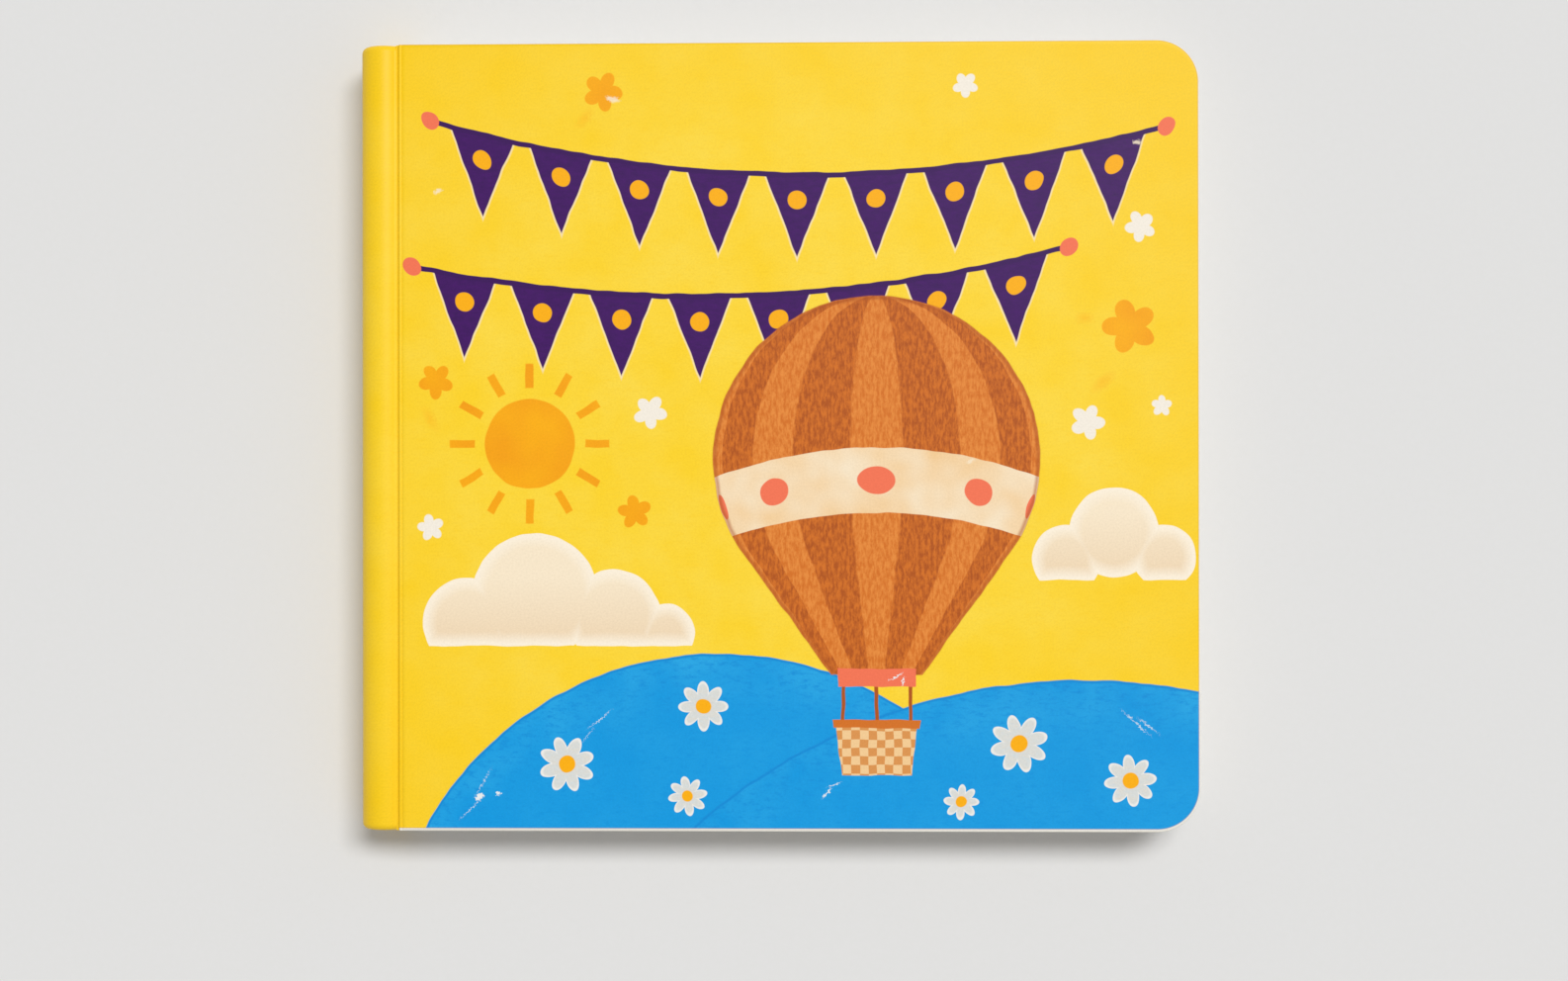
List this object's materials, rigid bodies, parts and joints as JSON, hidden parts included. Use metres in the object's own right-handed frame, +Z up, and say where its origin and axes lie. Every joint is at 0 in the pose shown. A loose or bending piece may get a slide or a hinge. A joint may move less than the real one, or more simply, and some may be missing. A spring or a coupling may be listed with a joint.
{
  "type": "board book",
  "caption": "Square children's board book with rounded fore-edge corners, thick card leaves, a rounded spine with grooves, and two covers that open.",
  "frame": {"origin": "middle of the book's footprint, on the surface that its back cover lies on", "axes": "+X from the spine to the fore edge, +Y from the tail to the head, +Z up out of the front cover"},
  "size_m": [0.16, 0.15, 0.016],
  "materials": {
    "wrap_print": "satin",
    "white_board": "matte",
    "lining_paper": "satin",
    "page_card": "matte",
    "glue": "satin"
  },
  "bodies": {
    "block": {"page_block": "page_card", "spine_glue": "glue", "spine_liner": "white_board", "spine_wrap": "wrap_print"},
    "front_cover": {"front_wrap": "wrap_print", "front_board": "white_board", "front_lining": "lining_paper"},
    "back_cover": {"back_wrap": "wrap_print", "back_board": "white_board", "back_lining": "lining_paper"}
  },
  "joints": [
    {"name": "front_cover_hinge", "type": "hinge", "parent": "block", "child": "front_cover", "pos_m": [-0.0728, 0, 0.01605], "axis": [0, -1, 0], "range_deg": [0, 179]},
    {"name": "back_cover_hinge", "type": "hinge", "parent": "block", "child": "back_cover", "pos_m": [-0.0728, 0, -0.00005], "axis": [0, 1, 0], "range_deg": [0, 179]}
  ]
}
